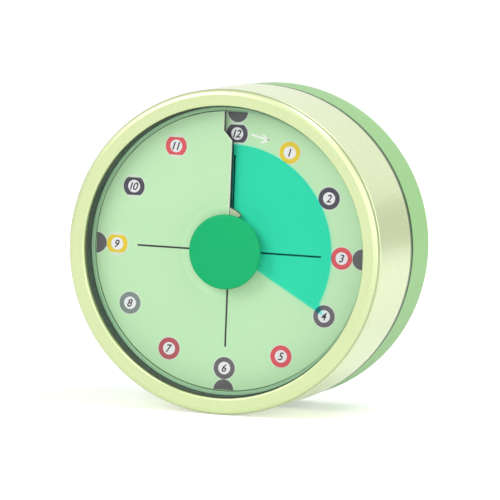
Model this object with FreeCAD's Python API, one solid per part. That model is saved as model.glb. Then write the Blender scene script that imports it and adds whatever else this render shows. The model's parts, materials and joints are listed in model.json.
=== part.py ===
import FreeCAD, Part
import math
import os

# A round one-hour visual countdown timer, in millimetres.
# It is laid out on its back: X to the right, Y towards twelve o'clock and Z towards the user.
# The last step stands it up, so that the dial faces -Y and twelve o'clock points to +Z.

V = FreeCAD.Vector
ORIGIN = V(0, 0, 0)
TO_USER = V(0, 0, 1)
TO_RIGHT = V(1, 0, 0)

# Driving sizes of the outside
ring_radius = 40.0
rear_step = 0.3
rear_depth = 15.4
seam_width = 1.3
rear_edge_radius = 1.6
front_edge_radius = 1.3
lip_edge_radius = 0.4
corner_steps = 3
bezel_width = 4.1
barrel_wall = 1.6
trim_groove_depth = 0.3
trim_groove_width = 0.6
trim_groove_from_front = 1.9
rear_wall = 1.8
rear_floor = 2.2
spigot_length = 4.5
fit_gap = 0.1
seat_gap = 0.05

# Dial, window and disc
ledge_depth = 6.1
ledge_thickness = 2.9
dial_margin = 1.5
dial_gap = 0.25
dial_thickness = 0.6
dial_rim_width = 1.2
dial_rise = 1.6
minute_deg = 6.0
dial_hole_gap = 0.8
slit_jog = 2.2
slit_jog_gap = 0.9
slit_jog_slope = 2.4
tongue_reach = 1.3
tongue_width = 2.9
disc_lift = 0.25
disc_thickness = 0.25
disc_margin = 8.1
disc_pointer_reach = 2.1
disc_pointer_deg = 7.0
disc_angle = 120.0
lens_thickness = 1.2
lens_hole_gap = 2.3
lens_clearance = 0.4
gasket_wall = 0.6
gasket_step = 0.3
gasket_above_lens = 0.8

# Knob, shaft and hub
knob_radius = 9.3
knob_face_depth = 1.5
knob_edge_height = 1.1
knob_edge_radius = 0.4
knob_stem_radius = 4.8
shaft_radius = 3.0
shaft_bore_gap = 0.04
shaft_flat = 0.7
shaft_in_knob = 1.6
hub_radius = 5.0
hub_disc_gap = 0.2
key_reach = 0.9
key_width = 1.4
hub_above_disc = 0.25
hub_to_plate = 0.4
pivot_radius = 1.0
pivot_length = 1.5

# Movement
plate_thickness = 2.0
plate_to_barrel = 0.25
bush_radius = 5.2
bush_length = 2.4
train_room = 11.5
train_plate_thickness = 1.5
train_plate_radius = 25.2
pillar_radius = 2.4
pillar_angles = (52.0, 185.0, 305.0)
pillar_ring = 21.8
gear_module = 0.5
centre_teeth = 48
wheel_teeth = 36
pinion_teeth = 8
gear_thickness = 1.2
pinion_thickness = 2.4
arbor_radius = 0.6
arbor_gap = 0.05
rotor_radius = 3.0
rotor_height = 2.6
rotor_air_gap = 0.5
stator_thickness = 1.0
coil_radius = 3.4
coil_length = 11.0
coil_gap = 2.7
coil_recess = 0.5
stator_land = 2.2
stator_bar_width = 2.6
stator_foot_radius = 1.2
stator_foot_reach = 2.0
spring_thickness = 0.3

# Power, sound and switch
cell_radius = 7.25
cell_length = 49.5
cell_nub_radius = 2.75
cell_nub_length = 1.0
cell_bevel = 0.6
cell_above_back = 3.2
bay_wall = 1.2
bay_side_gap = 0.5
bay_end_gap = 0.6
bay_corner_gap = 0.85
contact_thickness = 0.4
leaf_half_length = 4.0
spring_length = 2.6
board_thickness = 1.4
board_gap = 0.6
board_to_train = 1.3
board_from_wall = 6.5
buzzer_radius = 6.0
buzzer_height = 5.5
sound_hole_radius = 0.8
sound_hole_ring = 3.0
upper_row_from_wall = 17.9
buzzer_x = -12.0
switch_x = 10.0
switch_travel = 4.0
switch_body = V(9.0, 4.0, 3.6)
slider_width = 3.0
slider_height = 2.4
slider_proud = 0.9
magnet_radius = 6.0
magnet_thickness = 2.0
magnet_from_wall = 6.4
magnet_from_bay = 0.95
boss_wall = 1.4
door_thickness = 1.4
door_margin = 1.2
door_gap = 0.15
door_corner = 3.0
door_notch_radius = 4.5

# Screws
screw_radius = 1.2
screw_head_radius = 2.3
screw_head_height = 1.5
screw_clearance = 0.2
thread_gap = 0.02
recess_width = 0.4
case_screw_inset = 2.0
case_screw_bite = 6.0
case_screw_angles = (45.0, 135.0, 270.0)
post_radius = 2.9
post_from_wall = 2.0
ring_screw_radius = 0.8
ring_screw_head = 1.3
ring_screw_bite = 2.0
ring_screw_angles = (0.0, 120.0, 240.0)
train_screw_radius = 0.9
train_screw_head = 1.7

# Radii and places across the timer, worked out from the sizes above
lip_radius = ring_radius - bezel_width
dial_radius = lip_radius - dial_margin
disc_radius = dial_radius - disc_margin
disc_pointer_radius = disc_radius + disc_pointer_reach
slit_jog_radius = disc_radius + slit_jog_gap
dial_hole_radius = hub_radius + key_reach + dial_hole_gap
tongue_radius = knob_radius + tongue_reach
lens_hole_radius = knob_radius + lens_hole_gap
ledge_radius = dial_radius + dial_gap
barrel_bore = ring_radius - barrel_wall
plate_radius = barrel_bore - plate_to_barrel
spigot_radius = barrel_bore - fit_gap
rear_radius = ring_radius - rear_step
rear_bore = rear_radius - rear_wall
case_screw_ring = rear_bore - post_from_wall - post_radius
ring_screw_ring = (ledge_radius + barrel_bore) / 2
bay_half_length = cell_length / 2 + spring_length + contact_thickness + bay_end_gap
bay_half_width = cell_radius + bay_side_gap
bay_corner = rear_bore - bay_corner_gap
cell_offset = math.sqrt(bay_corner ** 2 - bay_half_length ** 2) - bay_half_width - bay_wall
bay_centre = V(0, -cell_offset, 0)
magnet_x = rear_bore - magnet_from_wall - magnet_radius
magnet_y = bay_half_width + bay_wall + door_margin + magnet_from_bay + magnet_radius + boss_wall - cell_offset
upper_row = rear_bore - upper_row_from_wall
buzzer_spot = V(buzzer_x, upper_row, 0)
switch_spot = V(switch_x, upper_row, 0)

# Heights above the back, worked out from the cell upwards
ring_back = rear_depth + seam_width
spigot_top = rear_depth + spigot_length
cell_height = cell_above_back + cell_radius
board_bottom = cell_height + cell_radius + board_gap
train_bottom = board_bottom + board_thickness + board_to_train
train_top = train_bottom + train_plate_thickness
plate_bottom = train_top + train_room
plate_top = plate_bottom + plate_thickness
ledge_bottom = plate_top
ledge_top = ledge_bottom + ledge_thickness
total_depth = ledge_top + ledge_depth
dial_low = ledge_top
disc_low = dial_low + disc_lift + disc_thickness
disc_high = disc_low + dial_rise
lens_back = disc_high + lens_clearance
lens_front = lens_back + lens_thickness
knob_face = total_depth - knob_face_depth
knob_back = disc_high + hub_above_disc
shaft_top = knob_back + shaft_in_knob
hub_bottom = plate_top + hub_to_plate

# Gear centres
centre_distance = gear_module * (centre_teeth + pinion_teeth) / 2
wheel_distance = gear_module * (wheel_teeth + pinion_teeth) / 2
third_bearing = 140.0
second_bearing = 60.0
rotor_bearing = -20.0
stator_bearing = -30.0


def polar(radius, degrees, height=0.0):
    angle = math.radians(degrees)
    return V(radius * math.cos(angle), radius * math.sin(angle), height)


third_axis = polar(centre_distance, third_bearing)
second_axis = third_axis + polar(wheel_distance, second_bearing)
rotor_axis = second_axis + polar(wheel_distance, rotor_bearing)

# Heights of the wheels, each 0.6 mm or more from the next
level_gap = 0.6
second_level = train_top + level_gap
third_level = second_level + gear_thickness + 2 * level_gap
centre_level = third_level + gear_thickness + 2 * level_gap
rotor_level = third_level


def cylinder(radius, low, high, centre=ORIGIN):
    return Part.makeCylinder(radius, high - low, V(centre.x, centre.y, low), TO_USER)


def tube(outer, inner, low, high, centre=ORIGIN):
    return cylinder(outer, low, high, centre).cut(cylinder(inner, low - 1, high + 1, centre))


def revolve(points):
    """Turn a closed outline of (radius, height) points about the main axis."""
    outline = Part.makePolygon([V(r, 0, z) for r, z in points] + [V(points[0][0], 0, points[0][1])])
    return Part.Face(outline).revolve(ORIGIN, TO_USER, 360)


def prism(points, low, high):
    """Raise a closed outline of (x, y) points from one height to another."""
    outline = Part.makePolygon([V(x, y, low) for x, y in points] + [V(points[0][0], points[0][1], low)])
    return Part.Face(outline).extrude(V(0, 0, high - low))


def block(size_x, size_y, low, high, centre):
    return Part.makeBox(size_x, size_y, high - low, V(centre.x - size_x / 2, centre.y - size_y / 2, low))


def rounded_block(size_x, size_y, corner, low, high, centre):
    solid = block(size_x, size_y, low, high, centre)
    uprights = [e for e in solid.Edges if abs(e.BoundBox.ZLength - (high - low)) < 1e-6]
    return solid.makeFillet(corner, uprights)


def turned(shape, degrees, centre=ORIGIN):
    copy = shape.copy()
    copy.rotate(centre, TO_USER, degrees)
    return copy


def rounded_corner(radius, height, corner, first, inwards=-1):
    """Points of a rounded corner of a turned outline, from one direction through a quarter turn.

    inwards is -1 where the corner's centre is nearer the axis, and 1 where it is further out.
    """
    up = -1 if first >= 0 else 1
    centre_radius = radius + inwards * corner
    centre_height = height + up * corner
    points = []
    for step in range(corner_steps + 1):
        angle = math.radians(first + 90 * step / corner_steps)
        points.append((centre_radius + corner * math.cos(angle), centre_height + corner * math.sin(angle)))
    return points


def facet(*corners):
    return Part.Face(Part.makePolygon(list(corners) + [corners[0]]))


def spiral_slab(inner, outer, start, turn, top, thickness):
    """A ramp that climbs clockwise round the axis, dial_rise in each full turn.

    start and turn are in degrees clockwise from twelve o'clock, and top is the height
    that its upper face has, or would have, at twelve. It is made of flat facets, one
    pair for each minute mark of the dial.
    """
    drop = V(0, 0, -thickness)
    steps = round(turn / minute_deg)
    inside = []
    outside = []
    for step in range(steps + 1):
        angle = start + step * minute_deg
        height = top + dial_rise * angle / 360
        inside.append(polar(inner, 90 - angle, height))
        outside.append(polar(outer, 90 - angle, height))
    faces = [
        facet(inside[0], inside[0] + drop, outside[0] + drop, outside[0]),
        facet(inside[-1], outside[-1], outside[-1] + drop, inside[-1] + drop),
    ]
    for step in range(steps):
        in_low, in_high = inside[step:step + 2]
        out_low, out_high = outside[step:step + 2]
        faces.append(facet(in_low, out_low, out_high).reversed())
        faces.append(facet(in_low, out_high, in_high).reversed())
        faces.append(facet(in_low + drop, out_low + drop, out_high + drop))
        faces.append(facet(in_low + drop, out_high + drop, in_high + drop))
        faces.append(facet(in_low, in_high, in_high + drop, in_low + drop))
        faces.append(facet(out_low, out_low + drop, out_high + drop, out_high))
    slab = Part.makeSolid(Part.makeShell(faces))
    if slab.Volume < 0:
        slab.reverse()
    return slab


def make_front_ring():
    groove_low = total_depth - trim_groove_from_front - trim_groove_width / 2
    groove_high = groove_low + trim_groove_width
    groove_middle = groove_low + trim_groove_width / 2
    ring = revolve([
        (barrel_bore, ring_back),
        (ring_radius, ring_back),
        (ring_radius, groove_low),
        (ring_radius - trim_groove_depth, groove_middle),
        (ring_radius, groove_high),
        *rounded_corner(ring_radius, total_depth, front_edge_radius, 0),
        *rounded_corner(lip_radius, total_depth, lip_edge_radius, 90, 1),
        (lip_radius, ledge_top),
        (ledge_radius, ledge_top),
        (ledge_radius, ledge_bottom),
        (barrel_bore, ledge_bottom),
    ])
    for angle in ring_screw_angles:
        spot = polar(ring_screw_ring, angle)
        pilot = cylinder(ring_screw_radius, ledge_bottom - 1, ledge_bottom + ring_screw_bite + fit_gap, spot)
        ring = ring.cut(pilot)
    return ring


def make_lens_gasket():
    outer = lip_radius - seat_gap
    inner = outer - gasket_wall
    return revolve([
        (inner, ledge_top),
        (outer, ledge_top),
        (outer, lens_front + gasket_above_lens),
        (inner + gasket_step, lens_front + gasket_above_lens),
        (inner + gasket_step, lens_back),
        (inner, lens_back),
    ])


def make_lens():
    seat = lip_radius - seat_gap - gasket_wall + gasket_step
    return tube(seat - seat_gap, lens_hole_radius, lens_back, lens_front)


def make_dial_plate():
    sheet_edge = dial_radius - dial_rim_width
    head_room = dial_rise + 1
    foot_room = dial_low + dial_rise - plate_top
    plate = tube(dial_radius, dial_hole_radius, plate_top, dial_low + dial_rise)
    for start in (0, 180):
        above = spiral_slab(dial_hole_radius - 2, dial_radius + 1, start, 180, dial_low + head_room, head_room)
        below = spiral_slab(dial_hole_radius - 2, dial_radius + 1, start, 180, dial_low - dial_thickness, foot_room)
        plate = plate.cut(above).cut(below.common(cylinder(sheet_edge, plate_top - 1, total_depth)))
    # The left leaf steps back round the twelve, where the right leaf runs on under it.
    step_points = [
        (-slit_jog, dial_radius),
        (-slit_jog, slit_jog_radius + slit_jog_slope),
        (0, slit_jog_radius),
        (0, dial_radius),
    ]
    reach = prism(step_points, dial_low - dial_thickness, dial_low + head_room)
    reach = reach.common(cylinder(sheet_edge, dial_low - dial_thickness, dial_low + head_room))
    landing = reach.common(cylinder(dial_radius, dial_low - dial_thickness, dial_low))
    # The tongue holds the disc down where it comes up through the slit beside the hub.
    tongue_low = dial_low + dial_rise - dial_thickness
    tongue = prism([
        (-1.0, dial_hole_radius + 0.6),
        (-1.0, tongue_radius - 1.0),
        (0, tongue_radius),
        (tongue_width * 0.8, tongue_radius - 1.2),
        (tongue_width, tongue_radius - 2.0),
        (tongue_width * 0.8, tongue_radius - 2.6),
        (0, dial_hole_radius + 1.0),
    ], tongue_low, tongue_low + dial_thickness)
    return plate.cut(reach).fuse(landing).fuse(tongue)


def make_time_disc():
    inner = hub_radius + hub_disc_gap
    start = disc_angle - 360
    disc = spiral_slab(inner - 2, disc_pointer_radius + 1, start, 360, disc_low, disc_thickness)
    # A round outline with a small pointer at the leading edge
    tip = [polar(radius, 90 - disc_angle + turn) for radius, turn in
           ((disc_radius - 1, 0), (disc_pointer_radius, 0), (disc_radius - 1, disc_pointer_deg))]
    outline = cylinder(disc_radius, plate_top, lens_front)
    outline = outline.fuse(prism([(spot.x, spot.y) for spot in tip], plate_top, lens_front))
    disc = disc.common(outline).cut(cylinder(inner, plate_top, lens_front))
    for side in (90, 270):
        notch = block(key_reach + 1.5, key_width + 2 * hub_disc_gap, plate_top, lens_front,
                      V(hub_radius + key_reach / 2, 0, 0))
        disc = disc.cut(turned(notch, 90 - disc_angle + side))
    return disc


def make_disc_hub():
    hub = cylinder(hub_radius, hub_bottom, knob_back - seat_gap)
    for side in (90, 270):
        key = block(key_reach + 1.0, key_width, hub_bottom, knob_back - seat_gap,
                    V(hub_radius + key_reach / 2 - 0.5, 0, 0))
        hub = hub.fuse(turned(key, 90 - disc_angle + side))
    hub = hub.removeSplitter()
    return hub.cut(make_shaft_end(seat_gap))


def make_shaft_end(gap):
    """The flatted upper end of the shaft, or the hole for it when a gap is given."""
    rod = cylinder(shaft_radius + gap, hub_bottom - gap - 0.5, shaft_top + gap)
    flat = block(4 * shaft_radius, shaft_flat * 2, hub_bottom, shaft_top + 1,
                 V(0, shaft_radius + gap, 0))
    return rod.cut(flat)


def make_main_shaft():
    shaft = cylinder(shaft_radius, centre_level - level_gap, hub_bottom)
    end = make_shaft_end(0).common(cylinder(2 * shaft_radius, hub_bottom, shaft_top))
    shaft = shaft.fuse(end)
    pivot = cylinder(pivot_radius, train_top - pivot_length + seat_gap, centre_level - level_gap)
    collar = cylinder(shaft_radius + 1.2, centre_level - level_gap, centre_level - seat_gap)
    return shaft.fuse(pivot).fuse(collar).removeSplitter()


def make_knob():
    edge_low = knob_face - knob_edge_height
    knob = revolve([
        (0, knob_back),
        (knob_stem_radius, knob_back),
        (knob_stem_radius, knob_back + 0.3),
        (knob_radius - 0.6, edge_low - 0.1),
        (knob_radius, edge_low + 0.3),
        *rounded_corner(knob_radius, knob_face, knob_edge_radius, 0),
        (0, knob_face),
    ])
    socket = make_shaft_end(seat_gap).common(cylinder(2 * shaft_radius, knob_back - 1, knob_face))
    return knob.cut(socket)


def make_front_plate():
    """The plate that carries the dial, the front pivots and the case posts."""
    plate = cylinder(plate_radius, plate_bottom, plate_top)
    plate = plate.fuse(cylinder(bush_radius, plate_bottom - bush_length, plate_bottom))
    for angle in case_screw_angles:
        spot = polar(case_screw_ring, angle)
        plate = plate.fuse(cylinder(post_radius, spigot_top, plate_bottom, spot))
    plate = plate.removeSplitter()
    plate = plate.cut(cylinder(shaft_radius + shaft_bore_gap, plate_bottom - bush_length - 1, plate_top + 1))
    for angle in case_screw_angles:
        spot = polar(case_screw_ring, angle)
        plate = plate.cut(cylinder(screw_radius, spigot_top - 1, spigot_top + case_screw_bite + 0.5, spot))
    for angle in ring_screw_angles:
        spot = polar(ring_screw_ring, angle)
        plate = plate.cut(cylinder(ring_screw_radius + fit_gap, plate_bottom - 1, plate_top + 1, spot))
    for angle in pillar_angles:
        spot = polar(pillar_ring, angle)
        plate = plate.cut(cylinder(train_screw_radius, plate_bottom - 1, plate_top + 1, spot))
    for axis in (third_axis, second_axis, rotor_axis):
        plate = plate.cut(cylinder(arbor_radius + arbor_gap, plate_bottom - 1, plate_top + 1, axis))
    return plate


def make_train_plate():
    """The rear plate of the wheel train, on three pillars."""
    plate = cylinder(train_plate_radius, train_bottom, train_top)
    for angle in pillar_angles:
        plate = plate.fuse(cylinder(pillar_radius, train_top, plate_bottom, polar(pillar_ring, angle)))
    plate = plate.removeSplitter()
    for angle in pillar_angles:
        spot = polar(pillar_ring, angle)
        plate = plate.cut(cylinder(train_screw_radius + fit_gap, train_bottom - 1, plate_bottom + 1, spot))
    plate = plate.cut(cylinder(pivot_radius + shaft_bore_gap, train_top - pivot_length, train_top + 1))
    for axis in (third_axis, second_axis, rotor_axis):
        plate = plate.cut(cylinder(arbor_radius + arbor_gap, train_bottom - 1, train_top + 1, axis))
    return plate


def gear_blank(teeth, low, thickness, centre, phase):
    """A spur gear with straight-sided teeth, the first one centred on the phase angle."""
    pitch_radius = gear_module * teeth / 2
    tip = pitch_radius + 0.75 * gear_module
    root = pitch_radius - 1.05 * gear_module
    pitch_angle = 360.0 / teeth
    points = []
    for index in range(teeth):
        middle = phase + index * pitch_angle
        for radius, share in ((root, -0.25), (tip, -0.10), (tip, 0.10), (root, 0.25)):
            spot = centre + polar(radius, middle + share * pitch_angle)
            points.append((spot.x, spot.y))
    return prism(points, low, low + thickness)


def meshing_phase(phase, teeth, bearing, mate_teeth):
    """The phase of a mate whose tooth space meets the nearest tooth of the first gear."""
    behind = (bearing - phase) % (360.0 / teeth)
    return bearing + 180 + 180.0 / mate_teeth + behind * teeth / mate_teeth


def wheel_and_pinion(axis, wheel_level, wheel_phase, pinion_level, pinion_phase):
    """A wheel and its pinion in one piece, bored for their arbor."""
    wheel = gear_blank(wheel_teeth, wheel_level, gear_thickness, axis, wheel_phase)
    pinion = gear_blank(pinion_teeth, pinion_level, pinion_thickness, axis, pinion_phase)
    gear = wheel.fuse(pinion)
    arbor = cylinder(arbor_radius, train_bottom + 0.2, plate_top - 0.4, axis)
    return gear.fuse(arbor).removeSplitter()


def make_centre_wheel():
    wheel = gear_blank(centre_teeth, centre_level, gear_thickness, ORIGIN, 0)
    return wheel.cut(cylinder(shaft_radius + shaft_bore_gap, centre_level - 1, centre_level + 3))


def make_clutch_spring():
    """Three bowed legs between the bush and the centre wheel."""
    low = centre_level + gear_thickness
    high = plate_bottom - bush_length
    leg_points = [
        (shaft_radius + 0.2, high - 0.1),
        (shaft_radius + 1.6, high - 0.1),
        (shaft_radius + 6.0, low + 0.05 + spring_thickness),
        (shaft_radius + 6.8, low + 0.05 + spring_thickness),
        (shaft_radius + 6.8, low + 0.05),
        (shaft_radius + 5.9, low + 0.05),
        (shaft_radius + 1.5, high - 0.1 - spring_thickness),
        (shaft_radius + 0.2, high - 0.1 - spring_thickness),
    ]
    outline = Part.makePolygon([V(r, -1.2, z) for r, z in leg_points + leg_points[:1]])
    leg = Part.Face(outline).extrude(V(0, 2.4, 0))
    spring = tube(shaft_radius + 1.5, shaft_radius + 0.05, high - 0.1 - spring_thickness, high - 0.1)
    for index in range(3):
        spring = spring.fuse(turned(leg, 120 * index))
    bore = cylinder(shaft_radius + 0.05, low - 1, high + 1)
    return spring.cut(bore).removeSplitter()


def make_rotor():
    phase = meshing_phase(0, wheel_teeth, rotor_bearing, pinion_teeth)
    low = second_level - 0.4
    pinion = gear_blank(pinion_teeth, low, rotor_level - low, rotor_axis, phase)
    magnet = cylinder(rotor_radius, rotor_level, rotor_level + rotor_height, rotor_axis)
    arbor = cylinder(arbor_radius, train_bottom + 0.2, plate_top - 0.4, rotor_axis)
    return pinion.fuse(magnet).fuse(arbor).removeSplitter()


def make_stator():
    """The iron plate that leads the coil's field round the rotor."""
    low = rotor_level + (rotor_height - stator_thickness) / 2
    high = low + stator_thickness
    eye_radius = rotor_radius + rotor_air_gap
    bar_end = eye_radius + coil_gap + coil_length + stator_foot_reach
    bar = block(bar_end, stator_bar_width, low, high, rotor_axis + V(bar_end / 2, 0, 0))
    foot = cylinder(stator_foot_radius, train_top, low, rotor_axis + V(bar_end, 0, 0))
    cap = cylinder(stator_foot_radius, low, high, rotor_axis + V(bar_end, 0, 0))
    plate = cylinder(eye_radius + stator_land, low, high, rotor_axis).fuse(bar).fuse(cap).fuse(foot)
    plate = plate.cut(cylinder(eye_radius, low - 1, high + 1, rotor_axis)).removeSplitter()
    return turned(plate, stator_bearing, rotor_axis)


def make_coil():
    """The winding between the two cheeks of its bobbin."""
    middle = rotor_level + rotor_height / 2
    start = rotor_axis + V(rotor_radius + rotor_air_gap + coil_gap, 0, middle)
    cheek = 1.0
    bobbin = Part.makeCylinder(coil_radius, coil_length, start, TO_RIGHT)
    waist_length = coil_length - 2 * cheek
    waist_start = start + V(cheek, 0, 0)
    waist = Part.makeCylinder(coil_radius, waist_length, waist_start, TO_RIGHT)
    waist = waist.cut(Part.makeCylinder(coil_radius - coil_recess, waist_length, waist_start, TO_RIGHT))
    hole = block(coil_length + 2, stator_bar_width + 2 * seat_gap, middle - stator_thickness / 2 - seat_gap,
                 middle + stator_thickness / 2 + seat_gap, start + V(coil_length / 2, 0, 0))
    return turned(bobbin.cut(waist).cut(hole), stator_bearing, rotor_axis)


def make_rear_case():
    case = revolve([
        (0, 0),
        *rounded_corner(rear_radius, 0, rear_edge_radius, -90),
        (rear_radius, rear_depth),
        (spigot_radius, rear_depth),
        (spigot_radius, spigot_top),
        (rear_bore, spigot_top),
        (rear_bore, rear_floor),
        (0, rear_floor),
    ])
    # Walls of the cell bay
    outer = block(2 * (bay_half_length + bay_wall), 2 * (bay_half_width + bay_wall), rear_floor,
                  cell_height + 2, bay_centre)
    case = case.fuse(outer.common(cylinder(rear_bore + 0.5, 0, spigot_top)))
    # Bosses for the case screws, the magnets and the switch
    for angle in case_screw_angles:
        spot = polar(case_screw_ring, angle)
        case = case.fuse(cylinder(post_radius, rear_floor - 1, spigot_top - seat_gap, spot))
    for side in (-1, 1):
        spot = V(side * magnet_x, magnet_y, 0)
        case = case.fuse(cylinder(magnet_radius + boss_wall, rear_floor - 1, magnet_thickness + boss_wall, spot))
    case = case.removeSplitter()
    # The bay is open to the back, and the door closes it flush.
    bay = block(2 * bay_half_length, 2 * bay_half_width, -1, spigot_top + 1, bay_centre)
    case = case.cut(bay)
    door_seat = rounded_block(2 * (bay_half_length + door_margin), 2 * (bay_half_width + door_margin),
                              door_corner, -1, door_thickness + door_gap, bay_centre)
    case = case.cut(door_seat)
    for angle in case_screw_angles:
        spot = polar(case_screw_ring, angle)
        case = case.cut(cylinder(screw_radius + screw_clearance, -1, spigot_top + 1, spot))
        case = case.cut(cylinder(screw_head_radius + screw_clearance, -1, rear_floor + case_screw_inset, spot))
    for side in (-1, 1):
        spot = V(side * magnet_x, magnet_y, 0)
        case = case.cut(cylinder(magnet_radius + seat_gap, -1, magnet_thickness, spot))
    for spot in sound_hole_spots():
        case = case.cut(cylinder(sound_hole_radius, -1, rear_floor + 1, spot))
    slot = rounded_block(slider_width + switch_travel + 2 * fit_gap, slider_height + 2 * fit_gap, 0.5,
                         -1, rear_floor + 1, switch_spot + V(switch_travel / 2, 0, 0))
    return case.cut(slot)


def sound_hole_spots():
    spots = [buzzer_spot]
    for index in range(6):
        spots.append(buzzer_spot + polar(sound_hole_ring, index * 60))
    return spots


def make_battery_door():
    door = rounded_block(2 * (bay_half_length + door_margin - door_gap),
                         2 * (bay_half_width + door_margin - door_gap),
                         door_corner - door_gap, 0, door_thickness, bay_centre)
    # A thumb notch at the upper edge and two ribs that sit inside the bay
    notch = cylinder(door_notch_radius, -1, door_thickness / 2,
                     bay_centre + V(0, bay_half_width + door_margin + door_notch_radius * 0.55, 0))
    door = door.cut(notch)
    for side in (-1, 1):
        rib = block(2 * bay_half_length - 8, 1.0, door_thickness, door_thickness + 1.2,
                    bay_centre + V(0, side * (bay_half_width - 0.8), 0))
        door = door.fuse(rib)
    return door.removeSplitter()


def make_battery():
    """A single cell, with its raised end to the right."""
    half = cell_length / 2
    cell = revolve([
        (0, -half),
        (cell_radius - cell_bevel, -half),
        (cell_radius, -half + cell_bevel),
        (cell_radius, half - cell_bevel),
        (cell_radius - cell_bevel, half),
        (cell_nub_radius, half),
        (cell_nub_radius, half + cell_nub_length),
        (0, half + cell_nub_length),
    ])
    cell.rotate(ORIGIN, V(0, 1, 0), 90)
    cell.translate(V(0, -cell_offset, cell_height))
    return cell


def contact_strip(inside, side):
    """A bent contact strip on one end wall of the bay, with a tail up to the board."""
    outside = inside + side * contact_thickness
    low_x = min(inside, outside)
    strip = Part.makeBox(contact_thickness, 8.0, board_bottom - cell_above_back - 2,
                         V(low_x, -cell_offset - 4.0, cell_above_back + 2))
    return strip


def make_contact_positive():
    return contact_strip(cell_length / 2 + cell_nub_length, 1)


def make_contact_negative():
    """An end strip with a bowed leaf that presses on the flat end of the cell."""
    plate_face = -(cell_length / 2 + spring_length)
    strip = contact_strip(plate_face, -1)
    crown = -cell_length / 2 - seat_gap
    low = cell_height - leaf_half_length
    high = cell_height + leaf_half_length
    leaf_points = [
        (plate_face, low),
        (plate_face, low - contact_thickness),
        (crown - contact_thickness, cell_height - 0.8),
        (crown, cell_height - 0.8),
        (crown, cell_height + 0.8),
        (crown - contact_thickness, cell_height + 0.8),
        (plate_face + contact_thickness, high),
        (plate_face + contact_thickness, high - 1.0),
        (crown - contact_thickness, cell_height + 0.3),
        (crown - contact_thickness, cell_height - 0.3),
    ]
    outline = [V(x, -cell_offset - 2.0, z) for x, z in leaf_points]
    leaf = facet(*outline).extrude(V(0, 4.0, 0))
    return strip.fuse(leaf)


def make_circuit_board():
    board = cylinder(rear_bore - board_from_wall, board_bottom, board_bottom + board_thickness)
    for angle in case_screw_angles:
        spot = polar(case_screw_ring, angle)
        board = board.cut(cylinder(post_radius + 0.6, board_bottom - 1, board_bottom + 4, spot))
    return board


def make_buzzer():
    buzzer = cylinder(buzzer_radius, board_bottom - buzzer_height, board_bottom, buzzer_spot)
    return buzzer.cut(cylinder(1.0, board_bottom - buzzer_height - 1, board_bottom - buzzer_height + 2, buzzer_spot))


def make_switch_body():
    low = rear_floor + 0.2
    spot = switch_spot + V(switch_travel / 2, 0, 0)
    body = block(switch_body.x, switch_body.y, low, low + switch_body.z, spot)
    slot = block(slider_width + switch_travel + 0.2, slider_height + 0.2, low - 1, low + 1.6, spot)
    body = body.cut(slot)
    for side in (-1, 1):
        leg = cylinder(0.5, low + switch_body.z, board_bottom, spot + V(side * 3.0, 0, 0))
        body = body.fuse(leg)
    return body


def make_volume_slider():
    return rounded_block(slider_width, slider_height, 0.4, -slider_proud + 0.9, rear_floor + 1.5, switch_spot)


def make_magnets():
    return Part.makeCompound([
        cylinder(magnet_radius, 0, magnet_thickness - seat_gap, V(side * magnet_x, magnet_y, 0))
        for side in (-1, 1)
    ])


def screw(radius, head_radius, head_height, length, spot, head_low):
    """A cheese-head screw with its head towards the back."""
    head = cylinder(head_radius, head_low, head_low + head_height, spot)
    shank = cylinder(radius, head_low + head_height, head_low + head_height + length, spot)
    return head.fuse(shank)


def cross_recess(screw_shape, head_radius, depth, spot, head_low):
    arm = head_radius * 1.1
    for size_x, size_y in ((arm, recess_width), (recess_width, arm)):
        screw_shape = screw_shape.cut(block(size_x, size_y, head_low - 1, head_low + depth, spot))
    return screw_shape


def make_case_screws():
    head_low = rear_floor + case_screw_inset - screw_head_height
    length = spigot_top + case_screw_bite - head_low - screw_head_height
    screws = []
    for angle in case_screw_angles:
        spot = polar(case_screw_ring, angle)
        body = screw(screw_radius - thread_gap, screw_head_radius, screw_head_height, length, spot, head_low)
        screws.append(cross_recess(body, screw_head_radius, screw_head_height * 0.6, spot, head_low))
    return Part.makeCompound(screws)


def make_ring_screws():
    head_height = 0.9
    head_low = plate_bottom - head_height
    return Part.makeCompound([
        screw(ring_screw_radius - thread_gap, ring_screw_head, head_height, plate_thickness + ring_screw_bite,
              polar(ring_screw_ring, angle), head_low)
        for angle in ring_screw_angles
    ])


def make_train_screws():
    head_height = 1.0
    head_low = train_bottom - head_height
    length = train_plate_thickness + train_room + plate_thickness - 0.4
    return Part.makeCompound([
        screw(train_screw_radius - thread_gap, train_screw_head, head_height, length,
              polar(pillar_ring, angle), head_low)
        for angle in pillar_angles
    ])


def save(name, shape):
    """Stand a sub-part up and write it."""
    upright = shape.copy()
    upright.rotate(ORIGIN, TO_RIGHT, 90)
    upright.exportStep(os.path.join("parts", name + ".step"))


os.makedirs("parts", exist_ok=True)

third_pinion_phase = meshing_phase(0, centre_teeth, third_bearing, pinion_teeth)
second_pinion_phase = meshing_phase(0, wheel_teeth, second_bearing, pinion_teeth)

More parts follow.
